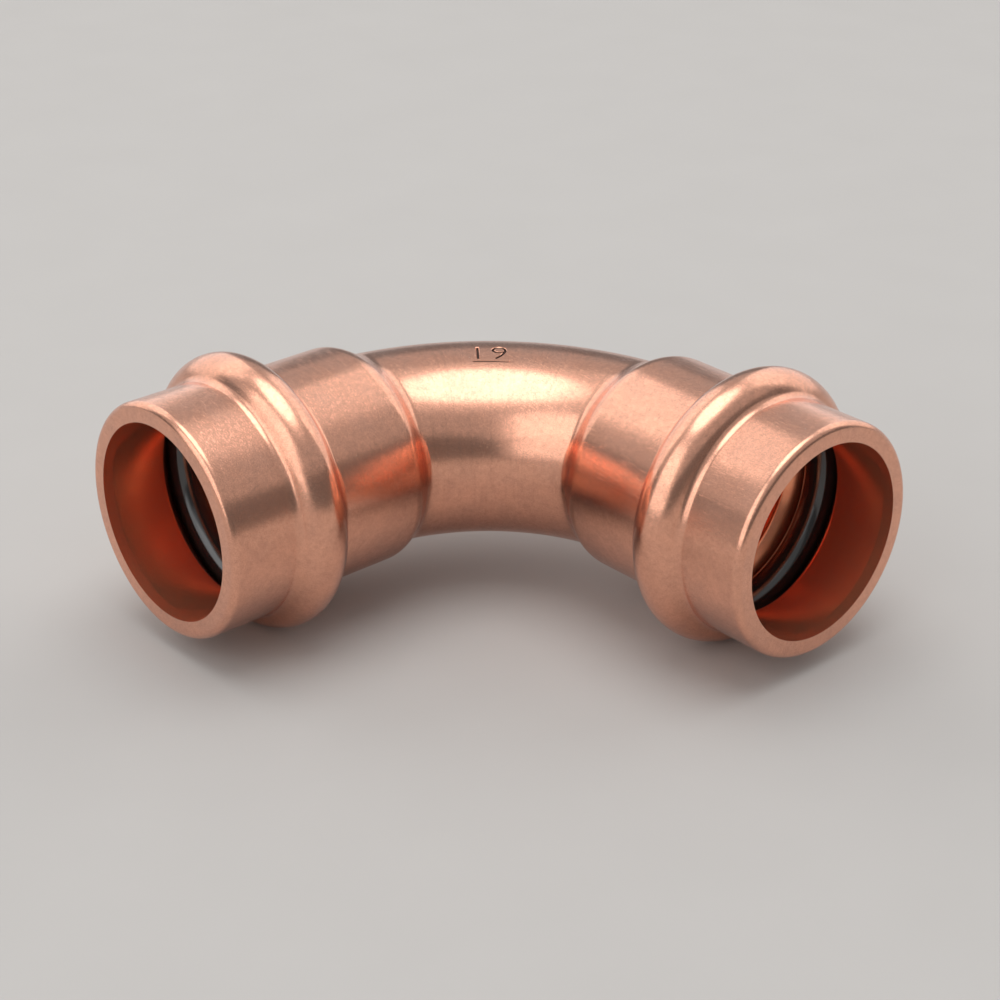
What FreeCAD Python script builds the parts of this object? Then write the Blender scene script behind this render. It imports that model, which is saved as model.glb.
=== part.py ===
# Copper press fit elbow of 90 degrees, with a socket at each end and a rubber O-ring in each socket's bead.
# Millimetres, +Z up. The bend lies flat: the left socket opens along -Y and the right one along +X.
# Each socket is drawn along +X from the point where the two socket axes cross, with its radius along +Y,
# and turned round its axis. The whole part is then set down with its beads on Z = 0 and its box centred.
import FreeCAD, Part
import math
import os

# Tube and bend
TUBE_DIAMETER = 19.05       # outside of the tube that is pressed in, and of the bend itself
TUBE_WALL = 1.2
BEND_RADIUS = 23.5          # centre line of the bend

# Bore of the socket
BORE_GAP = 0.075            # between the pushed-in tube and the bore, all round
INSERTION_DEPTH = 22.1      # from the mouth face to the stop
ARC_PAST_STOP = 2.4         # how far the bend's arc runs on into the socket
LEAD_IN_DEPTH = 1.05
LEAD_IN_FLARE = 0.1         # how much wider the mouth is than the bore
STOP_SLOPE = 45.0           # of the stop's cone, in degrees from the axis
STOP_ROUND = 0.8
STOP_CONE_DEPTH = 0.35      # how far inside the bend's bore the stop's cone ends, to meet it all round

# O-ring and its groove
BEAD_DEPTH = 10.0           # from the mouth face to the middle of the bead
CORD_DIAMETER = 3.2
CORD_PROUD = 0.15           # how far the O-ring stands into the bore
CORD_CLEARANCE = 0.05       # between the O-ring and the crown of its groove
GROOVE_SPREAD = 1.6         # how much wider than the cord the groove opens, on each side
GROOVE_EDGE_ROUND = 0.5

# Outside of the socket
LIP_WALL = 2.0              # between mouth and bead
MOUTH_ROUND = 0.72          # outer edge of the mouth
BEAD_WALL = 0.95            # over the crown of the groove, where forming has thinned the copper
BEAD_LIP_FILLET = 0.9
BEAD_BARREL_FILLET = 0.95
BARREL_WALL = 1.35          # between bead and neck
SHOULDER_PAST_STOP = 0.3    # how much deeper than the stop the barrel ends
SHOULDER_ROUND = 2.45
NECK_SLOPE = 31.15          # of the cone between shoulder and tube, in degrees from the axis
NECK_FILLET = 1.5           # hollow where the neck's cone meets the tube
NECK_DEPTH = 0.8            # how far below the tube's outside the cone ends, hidden in the tube's wall

# Worked out from the sizes above, from the crossing of the axes and from the socket's axis
TUBE_RADIUS = TUBE_DIAMETER / 2
BORE_RADIUS = TUBE_RADIUS + BORE_GAP
STOP_PLACE = BEND_RADIUS - ARC_PAST_STOP
MOUTH_FACE = STOP_PLACE + INSERTION_DEPTH
BEAD_PLACE = MOUTH_FACE - BEAD_DEPTH
SHOULDER_PLACE = STOP_PLACE - SHOULDER_PAST_STOP
LIP_RADIUS = BORE_RADIUS + LIP_WALL
BARREL_RADIUS = BORE_RADIUS + BARREL_WALL
NECK_END_RADIUS = TUBE_RADIUS - NECK_DEPTH
NECK_LENGTH = (BARREL_RADIUS - NECK_END_RADIUS) / math.tan(math.radians(NECK_SLOPE))
CORD_PLACE = BORE_RADIUS - CORD_PROUD + CORD_DIAMETER / 2
CROWN_ROUND = CORD_DIAMETER / 2 + CORD_CLEARANCE
CREST_ROUND = CROWN_ROUND + BEAD_WALL
BEAD_RADIUS = CORD_PLACE + CREST_ROUND
GROOVE_HALF_WIDTH = CORD_DIAMETER / 2 + GROOVE_SPREAD

ORIGIN = FreeCAD.Vector(0, 0, 0)
ALONG_SOCKET = FreeCAD.Vector(1, 0, 0)
OUTWARD = FreeCAD.Vector(0, 1, 0)
UP = FreeCAD.Vector(0, 0, 1)


def rounded_line(corners):
    """Join (place, radius, round) corners by straight lines, with an arc of that round at each corner."""
    points = [FreeCAD.Vector(place, radius, 0) for place, radius, _ in corners]
    edges = []
    start = points[0]
    for index in range(1, len(points) - 1):
        point = points[index]
        size = corners[index][2]
        if size > 0:
            back = (points[index - 1] - point).normalize()
            ahead = (points[index + 1] - point).normalize()
            half_angle = back.getAngle(ahead) / 2
            reach = size / math.tan(half_angle)
            middle = point + (back + ahead).normalize() * (size / math.sin(half_angle) - size)
            edges.append(Part.makeLine(start, point + back * reach))
            edges.append(Part.Arc(point + back * reach, middle, point + ahead * reach).toShape())
            start = point + ahead * reach
        else:
            edges.append(Part.makeLine(start, point))
            start = point
    edges.append(Part.makeLine(start, points[-1]))
    return edges


def bead_foot(surface_radius, fillet, side):
    """Hollow between the bead and the plain band beside it, on its mouth side (1) or barrel side (-1).
    Returns its end on the crest, its middle and its end on the band."""
    crest_centre = FreeCAD.Vector(BEAD_PLACE, CORD_PLACE, 0)
    rise = surface_radius + fillet - CORD_PLACE
    away = math.sqrt((CREST_ROUND + fillet) ** 2 - rise ** 2)
    centre = crest_centre + ALONG_SOCKET * (side * away) + OUTWARD * rise
    to_crest = (crest_centre - centre).normalize()
    to_middle = (to_crest - OUTWARD).normalize()
    return centre + to_crest * fillet, centre + to_middle * fillet, centre - OUTWARD * fillet


def turned(edges):
    """Close a half section down to the socket's axis and turn it once round."""
    first = edges[0].firstVertex(True).Point
    last = edges[-1].lastVertex(True).Point
    first_foot = FreeCAD.Vector(first.x, 0, 0)
    last_foot = FreeCAD.Vector(last.x, 0, 0)
    closing = [
        Part.makeLine(last, last_foot),
        Part.makeLine(last_foot, first_foot),
        Part.makeLine(first_foot, first),
    ]
    return Part.Face(Part.Wire(edges + closing)).revolve(ORIGIN, ALONG_SOCKET, 360)


def socket_outside():
    """Outer form of one socket, filled to its axis. The neck's cone runs on into the wall of the bend's
    tube, which has already begun to curve there, so that it meets the tube all round."""
    lip_crest, lip_middle, lip_foot = bead_foot(LIP_RADIUS, BEAD_LIP_FILLET, 1)
    barrel_crest, barrel_middle, barrel_foot = bead_foot(BARREL_RADIUS, BEAD_BARREL_FILLET, -1)
    lip = rounded_line([
        (MOUTH_FACE, BORE_RADIUS, 0),
        (MOUTH_FACE, LIP_RADIUS, MOUTH_ROUND),
        (lip_foot.x, LIP_RADIUS, 0),
    ])
    bead = [
        Part.Arc(lip_foot, lip_middle, lip_crest).toShape(),
        Part.Arc(lip_crest, FreeCAD.Vector(BEAD_PLACE, BEAD_RADIUS, 0), barrel_crest).toShape(),
        Part.Arc(barrel_crest, barrel_middle, barrel_foot).toShape(),
    ]
    neck = rounded_line([
        (barrel_foot.x, BARREL_RADIUS, 0),
        (SHOULDER_PLACE, BARREL_RADIUS, SHOULDER_ROUND),
        (SHOULDER_PLACE - NECK_LENGTH, NECK_END_RADIUS, 0),
    ])
    return turned(lip + bead + neck)


def socket_inside():
    """Space inside one socket: lead-in, bore, O-ring groove, and the stop's cone down to the bend's bore.
    The groove's straight flanks touch a crown arc that is concentric with the O-ring's cord."""
    crown_rise = CORD_PLACE - BORE_RADIUS
    foot_to_crown = math.hypot(GROOVE_HALF_WIDTH, crown_rise)
    flank_slope = math.atan2(crown_rise, GROOVE_HALF_WIDTH) + math.asin(CROWN_ROUND / foot_to_crown)
    flank_apex = BORE_RADIUS + GROOVE_HALF_WIDTH * math.tan(flank_slope)
    cone_end_radius = TUBE_RADIUS - TUBE_WALL - STOP_CONE_DEPTH
    cone_length = (BORE_RADIUS - cone_end_radius) / math.tan(math.radians(STOP_SLOPE))
    return turned(rounded_line([
        (MOUTH_FACE, BORE_RADIUS + LEAD_IN_FLARE, 0),
        (MOUTH_FACE - LEAD_IN_DEPTH, BORE_RADIUS, 0),
        (BEAD_PLACE + GROOVE_HALF_WIDTH, BORE_RADIUS, GROOVE_EDGE_ROUND),
        (BEAD_PLACE, flank_apex, CROWN_ROUND),
        (BEAD_PLACE - GROOVE_HALF_WIDTH, BORE_RADIUS, GROOVE_EDGE_ROUND),
        (STOP_PLACE, BORE_RADIUS, STOP_ROUND),
        (STOP_PLACE - cone_length, cone_end_radius, 0),
    ]))


def bend(section_radius):
    """Quarter ring from the end of one socket's straight part to the end of the other's."""
    circle = Part.makeCircle(section_radius, ALONG_SOCKET * BEND_RADIUS, ALONG_SOCKET)
    bend_centre = FreeCAD.Vector(BEND_RADIUS, -BEND_RADIUS, 0)
    return Part.Face(Part.Wire(circle)).revolve(bend_centre, UP, 90)


def o_ring():
    return Part.makeTorus(CORD_PLACE, CORD_DIAMETER / 2, ALONG_SOCKET * BEAD_PLACE, ALONG_SOCKET)


def at_left(shape):
    """Copy of a right socket's shape, turned to the left socket."""
    moved = shape.copy()
    moved.rotate(ORIGIN, UP, -90)
    return moved


def neck_foot_edges(shape):
    """Edges where the cones of the two necks meet the tube of the bend."""
    cones = [face for face in shape.Faces if isinstance(face.Surface, Part.Cone)]
    cone_edges = [edge for cone in cones for edge in cone.Edges]
    found = []
    for face in shape.Faces:
        surface = face.Surface
        if isinstance(surface, Part.Toroid) and math.isclose(surface.MajorRadius, BEND_RADIUS):
            found += [edge for edge in face.Edges if any(edge.isSame(other) for other in cone_edges)]
    return found


def elbow_body():
    """Bend and both sockets as one formed tube, with the space inside them cut out."""
    outside = socket_outside()
    inside = socket_inside()
    filled = bend(TUBE_RADIUS).fuse([outside, at_left(outside)])
    rounded = filled.makeFillet(NECK_FILLET, neck_foot_edges(filled))
    space = bend(TUBE_RADIUS - TUBE_WALL).fuse([inside, at_left(inside)])
    return rounded.cut(space).removeSplitter()


def set_down(shape):
    """Move a shape from the crossing of the axes to the part's own frame."""
    middle = (MOUTH_FACE - BEAD_RADIUS) / 2
    moved = shape.copy()
    moved.translate(FreeCAD.Vector(-middle, middle, BEAD_RADIUS))
    return moved


pieces = {
    "elbow_body": elbow_body(),
    "o_ring_left": at_left(o_ring()),
    "o_ring_right": o_ring(),
}

os.makedirs("parts", exist_ok=True)
for name, shape in pieces.items():
    placed = set_down(shape)
    placed.exportStep(os.path.join("parts", name + ".step"))
    print(name, "solids", len(placed.Solids), "valid", placed.isValid(), "volume", round(placed.Volume, 1))
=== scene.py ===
# %% [markdown]
# # A copper press fit elbow
# This lesson dresses the finished model of a right-angle pipe fitting and puts it into a small photo
# studio. The fitting is one copper tube, bent through a quarter turn, whose two ends are widened into
# sockets. Each socket has a rolled bead, and a rubber O-ring lies in the groove inside the bead.
# The first cell loads the measured model. It is a fixed frame: nothing in it is moved, and everything made
# below has to fit it.

# %% Load the measured model
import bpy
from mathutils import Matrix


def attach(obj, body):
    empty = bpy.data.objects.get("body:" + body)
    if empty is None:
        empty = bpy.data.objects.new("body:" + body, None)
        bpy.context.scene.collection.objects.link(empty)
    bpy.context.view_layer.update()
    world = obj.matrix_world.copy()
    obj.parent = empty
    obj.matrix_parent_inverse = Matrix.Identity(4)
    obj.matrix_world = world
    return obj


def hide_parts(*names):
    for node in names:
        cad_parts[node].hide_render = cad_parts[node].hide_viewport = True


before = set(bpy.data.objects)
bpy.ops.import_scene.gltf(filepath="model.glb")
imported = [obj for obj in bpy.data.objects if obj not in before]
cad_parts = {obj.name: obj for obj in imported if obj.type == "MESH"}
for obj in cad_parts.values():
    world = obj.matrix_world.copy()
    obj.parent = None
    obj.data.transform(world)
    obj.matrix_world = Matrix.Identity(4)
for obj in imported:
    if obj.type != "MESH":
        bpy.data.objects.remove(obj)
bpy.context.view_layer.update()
print("nodes:", sorted(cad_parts))

# %% [markdown]
# ## Units and a starting point
# Blender counts in metres, but a fitting this small is easier to think about in millimetres.
# So shapes are drawn in millimetres, with the point where the two socket axes cross at zero, and are scaled
# and moved to their place as the very last step. One matrix does both.
# The middle line of the bend is a quarter circle round a point as far from both axes as its radius.

# %% Tools, units and the way to the part's place
import math

import bmesh
import bpy
from mathutils import Matrix, Quaternion, Vector

scene = bpy.context.scene
MM = 0.001
CROSSING = Vector((-14.775, 14.775, 13.65))
BEND_RADIUS = 23.5
BEND_CENTRE = Vector((BEND_RADIUS, -BEND_RADIUS, 0))
TO_PLACE = Matrix.Scale(MM, 4) @ Matrix.Translation(CROSSING)
print("socket axes cross at", [round(value, 3) for value in CROSSING], "mm")

# %% [markdown]
# ## The camera
# The photograph was taken from the open side of the bend, from about 27 degrees above the floor, with a
# long lens. A long lens keeps near and far sizes alike, which is why product pictures are taken with one.
# A camera looks along its own -Z, so the direction to the point in the middle of the picture is turned into
# a rotation, and the last fifth of a degree is a roll round the line of sight.

# %% Place the camera
camera_data = bpy.data.cameras.new("camera")
camera_data.lens = 81.157  # in mm, a long lens for this sensor
camera_data.sensor_width = 36.0
camera_data.clip_start = 0.01
camera = bpy.data.objects.new("camera", camera_data)
scene.collection.objects.link(camera)
camera.location = Vector((144.210, -128.460, 110.201)) * MM
aim = Vector((0.483, 0.023, 12.321)) * MM
line_of_sight = (aim - camera.location).to_track_quat("-Z", "Y")
camera.rotation_mode = "QUATERNION"
ROLL = 0.218
camera.rotation_quaternion = line_of_sight @ Quaternion((0, 0, 1), math.radians(ROLL))
scene.camera = camera
print("camera", round((aim - camera.location).length / MM, 1), "mm from its aim")

# %% [markdown]
# ## Shader maths in plain Python
# A finish is a small network of nodes. Drawing one by code is easier to read when sums look like sums, so
# a `Signal` stands for a node's output, and `+`, `-` and `*` between signals and numbers add Math nodes.
# Every other node comes from `Finish.node`, which takes the node's type, its settings and its inputs.

# %% Signal and Finish
class Signal:
    """The output of a shader node. Arithmetic on it adds Math nodes."""

    def __init__(self, finish, socket):
        self.finish = finish
        self.socket = socket

    def math(self, operation, first, second):
        return self.finish.node("ShaderNodeMath", {"operation": operation}, {0: first, 1: second})

    def __add__(self, other):
        return self.math("ADD", self, other)

    __radd__ = __add__

    def __sub__(self, other):
        return self.math("SUBTRACT", self, other)

    def __rsub__(self, other):
        return self.math("SUBTRACT", other, self)

    def __mul__(self, other):
        return self.math("MULTIPLY", self, other)

    __rmul__ = __mul__


class Finish:
    """A material under construction, with its Principled shader."""

    def __init__(self, name, **constants):
        self.material = bpy.data.materials.new(name)
        self.material.use_nodes = True
        self.tree = self.material.node_tree
        self.shader = self.tree.nodes["Principled BSDF"]
        for socket_name, value in constants.items():
            self.shader.inputs[socket_name.replace("_", " ")].default_value = value

    def feed(self, socket, value):
        """Link a signal to an input, or write a plain value into it."""
        if isinstance(value, Signal):
            self.tree.links.new(value.socket, socket)
        else:
            socket.default_value = value

    def node(self, kind, settings=None, inputs=None, output=0):
        """Add a node: its type, its settings, then the values or links of its inputs."""
        made = self.tree.nodes.new(kind)
        for name, value in (settings or {}).items():
            if name == "stops":
                while len(made.color_ramp.elements) < len(value):
                    made.color_ramp.elements.new(0.5)
                for stop, (position, shade) in zip(made.color_ramp.elements, value):
                    stop.position = position
                    stop.color = (shade, shade, shade, 1)
            else:
                setattr(made, name, value)
        for name, value in (inputs or {}).items():
            self.feed(made.inputs[name], value)
        return Signal(self, made.outputs[output])

    def millimetres(self, scale=(1, 1, 1), turn=(0, 0, 0)):
        """The place on the piece in millimetres, stretched or turned for a pattern with a grain."""
        place = self.node("ShaderNodeTexCoord", output="Object")
        stretch = [value / MM for value in scale]
        return self.node(
            "ShaderNodeMapping", {"vector_type": "POINT"},
            {"Vector": place, "Rotation": [math.radians(value) for value in turn], "Scale": stretch},
        )

    def noise(self, place, scale, detail=2.0, roughness=0.5):
        """Cloudy pattern with `scale` cells a millimetre."""
        return self.node(
            "ShaderNodeTexNoise", None,
            {"Vector": place, "Scale": scale, "Detail": detail, "Roughness": roughness},
        )

    def ramp(self, signal, *stops):
        """Reshape a signal by (position, value) stops."""
        return self.node("ShaderNodeValToRGB", {"stops": stops}, {"Fac": signal})

    def blend_colours(self, mask, first, second):
        return self.node(
            "ShaderNodeMix", {"data_type": "RGBA"},
            {"Factor": mask, 6: (*first, 1) if isinstance(first, tuple) else first,
             7: (*second, 1) if isinstance(second, tuple) else second},
            output=2,
        )

    def bump(self, height, depth_mm, underneath=None):
        """Raise the surface by a height of 0 to 1 times a depth in millimetres."""
        inputs = {"Height": height, "Distance": depth_mm * MM, "Strength": 1.0}
        if underneath is not None:
            inputs["Normal"] = underneath
        return self.node("ShaderNodeBump", None, inputs)

    def wear(self, **signals):
        """Feed signals to the shader's inputs and return the material."""
        for socket_name, value in signals.items():
            self.feed(self.shader.inputs[socket_name.replace("_", " ")], value)
        return self.material


print("shader helpers ready")

# %% [markdown]
# ## Copper
# The fitting is bare copper with a satin skin: it was drawn, formed in a press and tumbled clean. Metal has
# no colour of its own besides the tint of its reflections, so the recipe mixes a clean and a dull tint and
# lets the roughness follow them. A thin, rough coat stands for the haze of handling on top of the metal.
# Each scale of the skin is a noise pattern in millimetres. Clouds of a few millimetres are where the oxide
# is a little thicker, mottling of half a millimetre and a grain of a tenth are left by forming, and there
# are a few small stains and short scratches. The bend also has faint marks across it from its forming
# blocks, which stand at a fixed angle round the bend's axis.

# %% Mix the copper
BEND_AXIS = CROSSING + BEND_CENTRE
FADE = 2.5           # how far from the sockets the marks on the bend reach their full strength, in mm
MARK_STRETCH = 0.06  # how fast the marks change with height, against round the bend


def bend_marks(finish, place):
    """Faint lines across the bent tube, and nothing on the sockets."""
    axes = {name: finish.node("ShaderNodeSeparateXYZ", None, {0: place}, output=name) for name in "XYZ"}
    east = axes["X"] - BEND_AXIS.x
    north = axes["Y"] - BEND_AXIS.y
    angle = finish.node("ShaderNodeMath", {"operation": "ARCTAN2"}, {0: north, 1: east})
    unrolled = finish.node(
        "ShaderNodeCombineXYZ", None, {"X": BEND_RADIUS * angle, "Y": MARK_STRETCH * axes["Z"]})
    lines = finish.ramp(finish.noise(unrolled, 1.6, detail=3.0, roughness=0.7), (0.50, 0.0), (0.66, 1.0))
    past_right_socket = finish.ramp(east * (-1 / FADE), (0.0, 0.0), (1.0, 1.0))
    past_left_socket = finish.ramp(north * (1 / FADE), (0.0, 0.0), (1.0, 1.0))
    return lines * past_right_socket * past_left_socket


def copper_finish():
    finish = Finish("copper", Metallic=1.0, Specular_IOR_Level=0.5, Coat_Roughness=0.5)
    place = finish.millimetres()
    clouds = finish.ramp(finish.noise(place, 0.42, detail=3.0, roughness=0.55), (0.32, 0.0), (0.70, 1.0))
    mottling = finish.ramp(finish.noise(place, 2.0, detail=2.0, roughness=0.6), (0.30, 0.0), (0.70, 1.0))
    grain = finish.noise(place, 10.0, detail=2.0, roughness=0.7)
    speckle = finish.ramp(grain, (0.34, 0.0), (0.66, 1.0))
    stains = finish.ramp(finish.noise(place, 0.9, detail=5.0, roughness=0.8), (0.62, 0.0), (0.70, 1.0))
    scratches_place = finish.millimetres(scale=(0.35, 6.0, 3.0), turn=(20, 35, 40))
    scratches = finish.noise(scratches_place, 1.6, detail=2.0, roughness=0.6)
    scratch_lines = finish.ramp(scratches, (0.60, 0.0), (0.66, 1.0), (0.72, 0.0))
    marks = bend_marks(finish, place)
    dullness = 0.20 * clouds + 0.26 * mottling + 0.46 * speckle + 0.12 * marks
    tint = finish.blend_colours(dullness, (1.0, 0.485, 0.322), (0.54, 0.26, 0.172))
    tint = finish.blend_colours(0.45 * stains, tint, (0.42, 0.20, 0.14))
    roughness = 0.14 + 0.04 * clouds + 0.05 * grain + 0.04 * mottling + 0.06 * stains
    relief = finish.bump(grain, 0.003)
    relief = finish.bump(scratch_lines + 0.5 * marks, 0.0025, underneath=relief)
    return finish.wear(
        Base_Color=tint, Roughness=roughness, Coat_Weight=0.4 + 0.4 * clouds, Normal=relief)


copper = copper_finish()
print("made", copper.name)

# %% [markdown]
# ## The red inside
# Inside the sockets the copper is given a redder tint than outside. That red is painted light: it stands in
# for the deep red glow of light that bounces again and again inside the bore. The finish is mostly metal,
# with a small share of plain red, and the red varies in random patches.

# %% Mix the bore's finish
def painted_bore_glow_finish():
    finish = Finish("copper_inside_painted_glow", Metallic=0.88, Specular_IOR_Level=0.3)
    place = finish.millimetres()
    glow_patches = finish.ramp(finish.noise(place, 0.5, detail=4.0, roughness=0.6), (0.30, 0.0), (0.72, 1.0))
    grain = finish.noise(place, 9.0, detail=2.0, roughness=0.6)
    # The tint is painted light: a redder copper that stands in for light bounced inside the bore, in random
    # patches.
    tint = finish.blend_colours(0.85 * glow_patches + 0.15 * grain, (1.0, 0.40, 0.22), (0.98, 0.315, 0.165))
    relief = finish.bump(grain, 0.001)
    return finish.wear(Base_Color=tint, Roughness=0.17 + 0.06 * glow_patches + 0.06 * grain, Normal=relief)


inside_copper_painted_glow = painted_bore_glow_finish()
print("made", inside_copper_painted_glow.name)

# %% [markdown]
# ## The stamped marking's floor
# A size number is stamped into the top of the bend. The bottom of the stamped strokes never gets rubbed
# clean, so it is left dull and nearly black. A brown-black oxide with little shine stands for it.

# %% Mix the oxide
def oxide_finish():
    finish = Finish("oxide_in_stamping", Metallic=0.6)
    place = finish.millimetres()
    specks = finish.noise(place, 9.0, detail=2.0)
    tint = finish.blend_colours(specks, (0.035, 0.016, 0.012), (0.10, 0.045, 0.03))
    return finish.wear(Base_Color=tint, Roughness=0.5 + 0.2 * specks)


oxide = oxide_finish()
print("made", oxide.name)

# %% [markdown]
# ## Rubber
# The O-rings are moulded black rubber with a trace of grease. The rubber is nearly black, and the grease
# gives it a clear shine that shows the round of the cord as a grey streak. Fine moulding grain and a little
# dust break the streak up.

# %% Mix the rubber
def rubber_finish():
    finish = Finish("black_rubber", Metallic=0.0, Specular_IOR_Level=1.0)
    place = finish.millimetres()
    grain = finish.noise(place, 9.0, detail=3.0, roughness=0.6)
    dust = finish.noise(place, 0.9, detail=3.0)
    tint = finish.blend_colours(dust, (0.010, 0.010, 0.010), (0.026, 0.025, 0.024))
    relief = finish.bump(grain, 0.002)
    return finish.wear(Base_Color=tint, Roughness=0.12 + 0.08 * grain, Normal=relief)


rubber = rubber_finish()
print("made", rubber.name)

# %% [markdown]
# ## A pen for half sections
# A socket is a turned shape, so half of its section says everything about it. The pen below draws that
# half section as a wire, with the place along the socket's axis as x and the distance from it as y.
# A straight run is an extruded vertex, and an arc is a vertex spun about the arc's centre. Each straight
# run begins and ends with a very short piece, which keeps smooth shading from leaking out of the arcs.

# %% The pen
END_PIECE = 0.08      # the short piece at each end of a straight run, in mm
ARC_PIECE = 6         # the turn of one piece of an arc, in degrees


class Pen:
    """Draws a half section as a chain of edges, from the place and radius where it is put down."""

    def __init__(self, place, radius):
        self.drawing = bmesh.new()
        self.tip = self.drawing.verts.new((place, radius, 0))

    def line(self, place, radius):
        """Draw straight on to a point."""
        run = Vector((place, radius, 0)) - self.tip.co
        margin = min(END_PIECE, run.length / 4)
        short = run.normalized() * margin
        for step in (short, run - 2 * short, short):
            self.tip = bmesh.ops.extrude_vert_indiv(self.drawing, verts=[self.tip])["verts"][0]
            bmesh.ops.translate(self.drawing, verts=[self.tip], vec=step)

    def arc(self, centre, degrees):
        """Swing about a (place, radius) centre, in at least three pieces."""
        swung = bmesh.ops.spin(
            self.drawing, geom=[self.tip], cent=(*centre, 0), axis=(0, 0, 1), angle=math.radians(degrees),
            steps=max(3, round(abs(degrees) / ARC_PIECE)), use_duplicate=False,
        )
        self.tip = [part for part in swung["geom_last"] if isinstance(part, bmesh.types.BMVert)][0]

    def corner(self, corner, towards, rounding):
        """Draw up to a corner and round it, ready to go on to the next point."""
        corner = Vector((*corner, 0))
        back = (self.tip.co - corner).normalized()
        ahead = (Vector((*towards, 0)) - corner).normalized()
        half_angle = back.angle(ahead) / 2
        start = corner + back * rounding / math.tan(half_angle)
        centre = corner + (back + ahead).normalized() * rounding / math.sin(half_angle)
        turn = math.degrees(math.pi - 2 * half_angle)
        side = back.cross(ahead).z
        self.line(start.x, start.y)
        self.arc(centre.xy, -math.copysign(turn, side))


print("pen ready")

# %% [markdown]
# ## Half section of a socket
# The wire starts high on the neck, the cone that leads down to the bent tube, and runs out over the
# shoulder, the barrel and the bead to the mouth. It turns the mouth's edge and comes back inside: the
# lead-in, the bore, the O-ring's groove, and the cone that stops a pushed-in tube.
# The sizes are those of the measured model. On the real thing all of this is one wall of copper, pressed
# out from within, so the same wire carries the outside and the inside.

# %% Draw the half section
TUBE_RADIUS = 9.525
TUBE_BORE_RADIUS = 8.325
BORE_RADIUS = 9.6
MOUTH = 43.2
LIP_RADIUS = 11.6
BARREL_RADIUS = 10.95
BEAD = (33.2, 11.05)
CREST_ROUND = 2.6
LIP_FILLET = 0.9
BARREL_FILLET = 0.95
SHOULDER = (20.8, BARREL_RADIUS)
SHOULDER_ROUND = 2.45
MOUTH_ROUND = 0.72
LEAD_IN_DEPTH = 1.05
LEAD_IN_FLARE = 0.1
NECK_SLOPE = math.radians(31.15)
NECK_STUB = 0.65      # how much of the neck's cone the wire takes in, along the axis
NECK_START = (SHOULDER[0] - NECK_STUB, BARREL_RADIUS - NECK_STUB * math.tan(NECK_SLOPE))
STOP = (21.1, BORE_RADIUS)


def bead_foot(radius, fillet):
    """Centre of the hollow between the crest and a band of this radius, and how steep their joint is."""
    rise = radius + fillet - BEAD[1]
    reach = CREST_ROUND + fillet
    return math.sqrt(reach ** 2 - rise ** 2), radius + fillet, math.degrees(math.asin(rise / reach))


lip_reach, lip_hollow, lip_slope = bead_foot(LIP_RADIUS, LIP_FILLET)
barrel_reach, barrel_hollow, barrel_slope = bead_foot(BARREL_RADIUS, BARREL_FILLET)

pen = Pen(*NECK_START)
pen.corner(SHOULDER, (BEAD[0] - barrel_reach, BARREL_RADIUS), SHOULDER_ROUND)
pen.line(BEAD[0] - barrel_reach, BARREL_RADIUS)
pen.arc((BEAD[0] - barrel_reach, barrel_hollow), 90 - barrel_slope)
pen.arc(BEAD, barrel_slope + lip_slope - 180)
pen.arc((BEAD[0] + lip_reach, lip_hollow), 90 - lip_slope)
pen.corner((MOUTH, LIP_RADIUS), (MOUTH, BORE_RADIUS), MOUTH_ROUND)
pen.line(MOUTH, BORE_RADIUS + LEAD_IN_FLARE)
pen.line(MOUTH - LEAD_IN_DEPTH, BORE_RADIUS)
print("outside drawn:", len(pen.drawing.verts), "points")

# %% [markdown]
# The groove's two flanks lean towards each other and touch an arc round the O-ring. Drawn as three corners,
# the middle one far out, they need only the slope at which a line from the groove's edge touches that arc.

# %% Draw the inside
GROOVE_HALF_WIDTH = 3.2
CROWN_ROUND = 1.65
GROOVE_EDGE_ROUND = 0.5
STOP_ROUND = 0.8
crown_rise = BEAD[1] - BORE_RADIUS
flank_slope = math.atan2(crown_rise, GROOVE_HALF_WIDTH) + math.asin(
    CROWN_ROUND / math.hypot(GROOVE_HALF_WIDTH, crown_rise))
flank_top = (BEAD[0], BORE_RADIUS + GROOVE_HALF_WIDTH * math.tan(flank_slope))
near_edge = (BEAD[0] + GROOVE_HALF_WIDTH, BORE_RADIUS)
far_edge = (BEAD[0] - GROOVE_HALF_WIDTH, BORE_RADIUS)
CONE_END = (19.6, 8.1)

pen.corner(near_edge, flank_top, GROOVE_EDGE_ROUND)
pen.corner(flank_top, far_edge, CROWN_ROUND)
pen.corner(far_edge, STOP, GROOVE_EDGE_ROUND)
pen.corner(STOP, CONE_END, STOP_ROUND)
pen.line(*CONE_END)
socket = pen.drawing
print("whole half section:", len(socket.verts), "points")

# %% [markdown]
# ## Turn the socket
# Spinning the wire once round the socket's axis makes the skin, as a lathe would. With `use_merge` the last
# copy is welded to the first, so that there is no seam.

# %% Spin the socket
AROUND = 160
bmesh.ops.spin(
    socket, geom=socket.verts[:] + socket.edges[:], cent=(0, 0, 0), axis=(1, 0, 0), angle=math.tau,
    steps=AROUND, use_merge=True, use_duplicate=False,
)
open_edges = [edge for edge in socket.edges if edge.is_boundary]
print("socket skin:", len(socket.faces), "faces,", len(open_edges), "open edges")

# %% [markdown]
# ## Down the neck to the tube
# The neck's cone runs down to a tube that has already begun to curve, so its foot isn't a flat circle. For
# every point of the open loop, the cone is followed until it touches the tube, which gives that foot.
# The hollow at the foot is drawn with De Casteljau's construction. One point slides down the cone to the
# foot, another from the foot along the tube, and a third slides along the line between them. Its path
# leaves the cone and joins the tube without a kink.

# %% Draw the neck
HOLLOW = 0.6          # how far before and after the foot the hollow begins and ends, in mm
HOLLOW_STEPS = 9
SLIDE_STEP = 0.001    # the short slide that tells how fast the tube comes nearer, in mm
SLIDES = 12
NEAR = 0.01           # how far off a loop a point may be and still count as one of it, in mm


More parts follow.
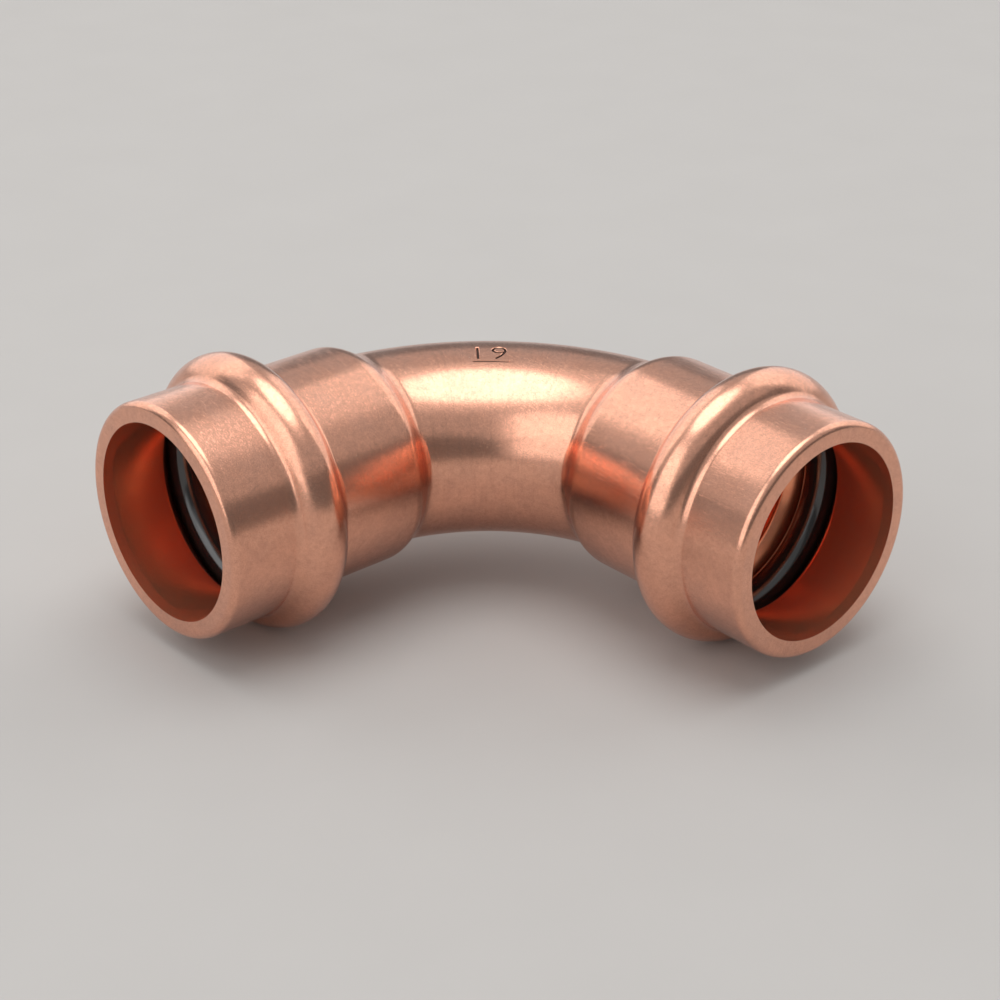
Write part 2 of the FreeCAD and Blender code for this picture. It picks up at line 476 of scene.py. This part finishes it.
def height_over_tube(point, tube_radius):
    """Distance of a point from the surface of the bent tube."""
    from_axis = (point - BEND_CENTRE).xy.length - BEND_RADIUS
    return math.hypot(from_axis, point.z) - tube_radius


def on_tube(point, way, tube_radius):
    """Where a point meets the tube when it slides this way."""
    for _ in range(SLIDES):
        here = height_over_tube(point, tube_radius)
        ahead = height_over_tube(point + way * SLIDE_STEP, tube_radius)
        point = point - way * here * SLIDE_STEP / (ahead - here)
    return point


def next_loop(edges):
    """Extrude a loop of edges once, and give its new edges and their points."""
    grown = bmesh.ops.extrude_edge_only(socket, edges=edges)["geom"]
    edges = [part for part in grown if isinstance(part, bmesh.types.BMEdge) and part.is_boundary]
    return edges, {vert for edge in edges for vert in edge.verts}


def loop_near(place, radius):
    """The open edges round the loop at this place and radius of the section."""
    def is_near(vert):
        return abs(vert.co.x - place) < NEAR and abs(vert.co.yz.length - radius) < NEAR

    return [edge for edge in open_edges if all(is_near(vert) for vert in edge.verts)]


neck_edges = loop_near(*NECK_START)
for step in range(HOLLOW_STEPS + 1):
    share = step / HOLLOW_STEPS
    neck_edges, points = next_loop(neck_edges)
    for point in points:
        outward = Vector((0, point.co.y, point.co.z)).normalized()
        down = Vector((-math.cos(NECK_SLOPE), 0, 0)) - outward * math.sin(NECK_SLOPE)
        foot = on_tube(Vector((NECK_START[0], 0, 0)) + outward * NECK_START[1], down, TUBE_RADIUS)
        start = foot - down * HOLLOW
        end = on_tube(foot - Vector((HOLLOW, 0, 0)), outward, TUBE_RADIUS)
        point.co = start.lerp(foot, share).lerp(foot.lerp(end, share), share)
print("neck drawn:", len(socket.faces), "faces")

# %% [markdown]
# ## Half the bend
# The loop at the end of the inner cone is slid on to the tube's bore in the same way.
# Then each loop is extruded again and again, and every point turns about the bend's axis by its own share
# of the way to the middle of the bend. All the points arrive together in the mirror plane.

# %% Draw half the bend
BEND_STEPS = 30
MIRROR_PLANE = 135    # the direction of the plane half way round, seen from the bend's centre, in degrees


def turn_to_middle(edges):
    """Extrude a loop about the bend's axis, step by step, to the plane half way round."""
    for step in range(BEND_STEPS):
        edges, points = next_loop(edges)
        for point in points:
            arm = point.co - BEND_CENTRE
            to_go = math.radians(MIRROR_PLANE) - math.atan2(arm.y, arm.x)
            point.co = BEND_CENTRE + Matrix.Rotation(to_go / (BEND_STEPS - step), 3, "Z") @ arm


cone_edges = loop_near(*CONE_END)
for point in {vert for edge in cone_edges for vert in edge.verts}:
    outward = Vector((0, point.co.y, point.co.z)).normalized()
    point.co = on_tube(point.co, Vector((-1, 0, 0)) - outward, TUBE_BORE_RADIUS)
turn_to_middle(neck_edges)
turn_to_middle(cone_edges)
print("half an elbow:", len(socket.faces), "faces")

# %% [markdown]
# ## The other half
# Both ends of the fitting are alike, so the second half is the first one mirrored in the plane half way
# round the bend. A mirrored copy is inside out, and the normals are recalculated once the two are welded.

# %% Mirror, weld and check that the skin is closed
other_half = bmesh.ops.duplicate(socket, geom=socket.verts[:] + socket.edges[:] + socket.faces[:])["geom"]
mirror = Matrix.Scale(-1, 4, Vector((1, 1, 0)).normalized())
bmesh.ops.transform(
    socket, verts=[part for part in other_half if isinstance(part, bmesh.types.BMVert)], matrix=mirror)
bmesh.ops.remove_doubles(socket, verts=socket.verts[:], dist=0.001)
bmesh.ops.recalc_face_normals(socket, faces=socket.faces[:])
print("elbow:", len(socket.faces), "faces,", sum(edge.is_boundary for edge in socket.edges), "open edges,",
      round(socket.calc_volume(), 1), "cubic mm")

# %% [markdown]
# The inside gets its own finish, whose redder tint is painted light for the glow of light bounced in the
# bore.
# A face belongs to the inside if it looks towards the middle line, which runs along one socket's axis,
# round the bend, and along the other socket's axis. The flat rim of a mouth looks along that line instead,
# and keeps the outside's finish.

# %% Give the inside its finish
COPPER, OXIDE, INSIDE = range(3)


def nearest_on_middle_line(place):
    """Point of the bend's and the sockets' middle line that is nearest to a place."""
    if place.x > BEND_RADIUS:
        return Vector((place.x, 0, 0))
    if place.y < -BEND_RADIUS:
        return Vector((0, place.y, 0))
    arm = (place - BEND_CENTRE) * Vector((1, 1, 0))
    return BEND_CENTRE + arm.normalized() * BEND_RADIUS


for face in socket.faces:
    centre = face.calc_center_median()
    outward = (centre - nearest_on_middle_line(centre)).normalized()
    face.material_index = INSIDE if face.normal.dot(outward) < -0.05 else COPPER
print("inside:", sum(face.material_index == INSIDE for face in socket.faces), "faces")

# %% [markdown]
# ## The stamped size number
# The top of the bend carries the size of tube that fits, underlined, as a stamp leaves it. Here it is the
# plain number 19, for tube of 19 mm. The strokes are real cuts, because only a real cut has a lit edge and
# a dark floor from every side.
# The number is a flat text turned into a mesh. It is thickened into a stamp with sloping edges, sliced
# every half millimetre so that it can follow the tube, wrapped on to the bend, and taken out by a boolean.

# %% Make the stamp
FONT_SIZE = 3.62      # gives digits 2.5 mm high


def flat_number():
    """The number as flat faces."""
    curve = bpy.data.curves.new("size_number", "FONT")
    curve.body = "19"
    curve.size = FONT_SIZE
    curve.space_character = 1.15
    curve.align_x = "CENTER"
    curve.resolution_u = 6
    carrier = bpy.data.objects.new("size_number", curve)
    mesh = bpy.data.meshes.new_from_object(carrier)
    flat = bmesh.new()
    flat.from_mesh(mesh)
    bpy.data.objects.remove(carrier)
    bpy.data.meshes.remove(mesh)
    return flat


def add_underline(flat, width, thickness, height):
    """Draw a bar at this height."""
    made = bmesh.ops.create_grid(flat, x_segments=8, y_segments=1, size=0.5)
    bmesh.ops.scale(flat, verts=made["verts"], vec=(width, thickness, 1))
    bmesh.ops.translate(flat, verts=made["verts"], vec=(0, height, 0))


def sink(flat, faces, inward, down):
    """Draw an outline round the faces, inside their own, and lower it with them."""
    bmesh.ops.inset_region(flat, faces=faces, thickness=inward, use_boundary=True, use_even_offset=True)
    corners = list({vert for face in faces for vert in face.verts})
    bmesh.ops.translate(flat, verts=corners, vec=(0, 0, -down))


def thicken_stamp(flat, above, shoulder, depth):
    """Turn flat faces into a stamp: a top above the surface, a sloping shoulder and a straight cut."""
    bmesh.ops.translate(flat, verts=flat.verts[:], vec=(0, 0, above))
    for face in flat.faces:
        if face.normal.z > 0:
            face.normal_flip()
    grown = bmesh.ops.extrude_face_region(flat, geom=flat.faces[:], use_keep_orig=True)["geom"]
    bottom = [part for part in grown if isinstance(part, bmesh.types.BMFace)]
    bmesh.ops.translate(
        flat, verts=list({vert for face in bottom for vert in face.verts}), vec=(0, 0, -above))
    sink(flat, bottom, shoulder, shoulder)
    sink(flat, bottom, 0, depth)
    bmesh.ops.recalc_face_normals(flat, faces=flat.faces[:])
    for face in flat.faces:
        below_shoulder = face.calc_center_median().z < -shoulder * 1.01
        face.material_index = OXIDE if below_shoulder else COPPER


def slice_every(flat, spacing, reach):
    """Cut the faces of a drawing along a square grid."""
    for axis in (Vector((1, 0, 0)), Vector((0, 1, 0))):
        for index in range(-round(reach / spacing), round(reach / spacing) + 1):
            bmesh.ops.bisect_plane(
                flat, geom=flat.verts[:] + flat.edges[:] + flat.faces[:], plane_co=axis * index * spacing,
                plane_no=axis, dist=0.00001,
            )


def wrap_on_bend(flat, turn, tilt):
    """Bend the stamp on to the tube, at an angle round the bend and one round the tube, in degrees."""
    middle_radius = BEND_RADIUS + TUBE_RADIUS * math.cos(math.radians(tilt))
    for vert in flat.verts:
        across, up, out = vert.co
        around = math.radians(turn) - across / middle_radius
        over = math.radians(tilt) - up / TUBE_RADIUS
        arm = BEND_RADIUS + (TUBE_RADIUS + out) * math.cos(over)
        vert.co = BEND_CENTRE + Vector(
            (arm * math.cos(around), arm * math.sin(around), (TUBE_RADIUS + out) * math.sin(over)))


stamp = flat_number()
bmesh.ops.remove_doubles(stamp, verts=stamp.verts[:], dist=0.0005)
number_box = [[round(f(vert.co[axis] for vert in stamp.verts), 2) for f in (min, max)] for axis in (0, 1)]
print("number spans", number_box, "mm")
bmesh.ops.translate(
    stamp, verts=stamp.verts[:], vec=(-sum(number_box[0]) / 2, -sum(number_box[1]) / 2, 0))
add_underline(stamp, width=3.9, thickness=0.24, height=-1.62)
thicken_stamp(stamp, above=0.2, shoulder=0.06, depth=0.13)
slice_every(stamp, spacing=0.5, reach=2.5)
wrap_on_bend(stamp, turn=137.9, tilt=95.0)
print("stamp:", len(stamp.faces), "faces,", sum(edge.is_boundary for edge in stamp.edges), "open edges")

# %% [markdown]
# A boolean works on whole objects, so both shapes become objects for a moment. The cut keeps the stamp's
# second material on the floor of the strokes. Edges that turn more than 30 degrees stay crisp, all others
# are shaded smooth.

# %% Stamp the number and finish the body
CRISP_ANGLE = 30


def as_object(drawing, name, materials):
    """Turn a drawing into an object of the scene, with its finishes."""
    mesh = bpy.data.meshes.new(name)
    drawing.to_mesh(mesh)
    drawing.free()
    for material in materials:
        mesh.materials.append(material)
    made = bpy.data.objects.new(name, mesh)
    scene.collection.objects.link(made)
    return made


def finish_piece(piece, node):
    """Move a drawn piece to its place in metres, smooth it, and let it stand for a node of the model."""
    piece.data.transform(TO_PLACE)
    piece.data.shade_smooth()
    piece.data.set_sharp_from_angle(angle=math.radians(CRISP_ANGLE))
    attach(piece, "root")
    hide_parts(node)
    print(piece.name, "stands for", node, "with", len(piece.data.polygons), "faces")


finishes = [copper, oxide, inside_copper_painted_glow]
body = as_object(socket, "elbow_tube", finishes)
cutter = as_object(stamp, "stamp", finishes)
cut = body.modifiers.new("stamping", "BOOLEAN")
cut.operation = "DIFFERENCE"
cut.solver = "EXACT"
cut.object = cutter
stamped = bpy.data.meshes.new_from_object(body.evaluated_get(bpy.context.evaluated_depsgraph_get()))
body.modifiers.clear()
body.data = stamped
bpy.data.objects.remove(cutter)
finish_piece(body, "elbow_body")

# %% [markdown]
# ## The O-rings
# Each ring is a round cord of rubber, 3.2 mm thick, closed into a circle that lies in its groove's crown.
# A circle of the cord's size is drawn where the cord's section lies and spun round the socket's axis.

# %% Spin the O-rings
CORD_RADIUS = 1.6


def o_ring(name, node, to_socket):
    cord = bmesh.new()
    bmesh.ops.create_circle(cord, segments=40, radius=CORD_RADIUS)
    bmesh.ops.translate(cord, verts=cord.verts[:], vec=(*BEAD, 0))
    bmesh.ops.spin(
        cord, geom=cord.verts[:] + cord.edges[:], cent=(0, 0, 0), axis=(1, 0, 0), angle=math.tau,
        steps=AROUND, use_merge=True, use_duplicate=False,
    )
    bmesh.ops.recalc_face_normals(cord, faces=cord.faces[:])
    bmesh.ops.transform(cord, verts=cord.verts[:], matrix=to_socket)
    ring = as_object(cord, name, [rubber])
    finish_piece(ring, node)
    return ring


o_ring("seal_right", "o_ring_right", Matrix.Identity(4))
o_ring("seal_left", "o_ring_left", Matrix.Rotation(math.radians(-90), 4, "Z"))

# %% [markdown]
# ## The floor
# The fitting lies on a plain pale floor that is large enough to run past every edge of the picture. A
# slight cloudiness keeps it from looking like a flat colour.

# %% Lay the floor
FLOOR_RADIUS = 4.0    # in metres
floor_drawing = bmesh.new()
bmesh.ops.create_circle(floor_drawing, cap_ends=True, segments=96, radius=FLOOR_RADIUS)
floor_finish = Finish("studio_floor", Roughness=0.9, Specular_IOR_Level=0.0)
paper = floor_finish.noise(floor_finish.millimetres(), 0.08, detail=3.0)
floor_material = floor_finish.wear(
    Base_Color=floor_finish.blend_colours(paper, (0.475, 0.458, 0.442), (0.495, 0.478, 0.462)))
floor = as_object(floor_drawing, "studio_floor", [floor_material])
print("floor", round(floor.dimensions.x, 1), "m across")

# %% [markdown]
# ## The lights
# Shiny metal shows its lights as shapes, so they are panels, as in a studio. A bright round panel overhead,
# with a dimmer one round it, draws the white band along the bend. A large and much dimmer ceiling keeps the
# metal from going dark between the shapes, and upright screens draw the softer streaks. The narrow, dim
# screen in front softens the edge of the streak that its neighbour at the front left draws.
# An area light's power is set from the brightness that its face should have, which is power over pi times
# its area. Azimuths are given as seen from the camera's side: 0 degrees is towards the camera.

# %% Hang the lights
CAMERA_SIDE = math.degrees(math.atan2(camera.location.y, camera.location.x))
HEIGHT = 0.9             # of the panels overhead, in metres
SCREEN_DISTANCE = 0.9
SCREEN_FOOT = 3          # the elevation at which the screens begin, in degrees


def softbox(name, location, facing_away, width, height, brightness, shape="RECTANGLE"):
    """Panel with sizes in metres, whose back looks along `facing_away`."""
    data = bpy.data.lights.new(name, "AREA")
    data.shape = shape
    data.size = width
    data.size_y = height
    area = width * height * (math.pi / 4 if shape == "ELLIPSE" else 1)
    data.energy = brightness * math.pi * area
    panel = bpy.data.objects.new(name, data)
    panel.location = location
    panel.rotation_mode = "QUATERNION"
    panel.rotation_quaternion = facing_away.to_track_quat("Z", "Y")
    scene.collection.objects.link(panel)
    print(name, "power", round(data.energy, 2), "W")


def screen(name, azimuth, half_angle, highest, brightness):
    """Upright panel that spans angles seen from the fitting, in degrees."""
    turn = math.radians(CAMERA_SIDE + azimuth)
    away = Vector((math.cos(turn), math.sin(turn), 0))
    bottom, top = (SCREEN_DISTANCE * math.tan(math.radians(angle)) for angle in (SCREEN_FOOT, highest))
    width = 2 * SCREEN_DISTANCE * math.tan(math.radians(half_angle))
    middle = away * SCREEN_DISTANCE + Vector((0, 0, (bottom + top) / 2))
    softbox(name, middle, away, width, top - bottom, brightness)


UP = Vector((0, 0, 1))
softbox("overhead", UP * HEIGHT, UP, width=0.78, height=0.78, brightness=2.7, shape="ELLIPSE")
softbox("overhead_rim", UP * HEIGHT, UP, width=1.25, height=1.25, brightness=0.6, shape="ELLIPSE")
softbox("ceiling", UP * HEIGHT, UP, width=3.4, height=3.4, brightness=0.31)
screen("screen_back_left", azimuth=-136, half_angle=33, highest=55, brightness=1.00)
screen("screen_front_left", azimuth=-49, half_angle=31, highest=55, brightness=1.22)
screen("screen_front", azimuth=-13, half_angle=5, highest=50, brightness=0.40)
screen("screen_back_right", azimuth=136, half_angle=32, highest=55, brightness=0.92)

AIR = 0.18               # brightness of the room round the panels
world = bpy.data.worlds.new("studio_air")
world.use_nodes = True
world.node_tree.nodes["Background"].inputs["Color"].default_value = (AIR, AIR, AIR, 1)
scene.world = world
scene.view_settings.view_transform = "Standard"
